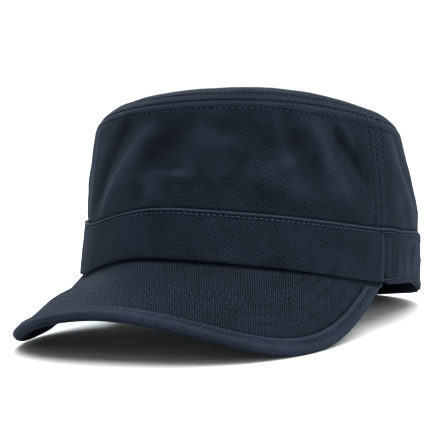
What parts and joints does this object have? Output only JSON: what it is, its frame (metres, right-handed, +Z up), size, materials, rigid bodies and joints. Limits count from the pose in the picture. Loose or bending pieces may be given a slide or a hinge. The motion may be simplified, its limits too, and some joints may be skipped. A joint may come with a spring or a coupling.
{
  "type": "army cap",
  "caption": "Soft cloth army cap with an oval flat-topped crown, a folded band, a short curved visor with a bound edge and a low strap round the back.",
  "frame": {"origin": "centre of the cap's bounding box in plan, on the surface it rests on", "axes": "+X to the wearer's left, -Y forwards over the visor, +Z up from the surface the cap rests on"},
  "size_m": [0.1578, 0.254, 0.1124],
  "materials": {
    "crown_cloth": "matte",
    "top_cloth": "matte",
    "band_cloth": "matte",
    "visor_cloth": "matte",
    "binding_cloth": "matte",
    "strap_cloth": "matte"
  },
  "bodies": {
    "root": {"crown_front": "crown_cloth", "crown_back": "crown_cloth", "top_panel": "top_cloth", "band_front": "band_cloth", "band_back": "band_cloth", "visor": "visor_cloth", "visor_binding": "binding_cloth", "back_strap": "strap_cloth"}
  },
  "joints": []
}
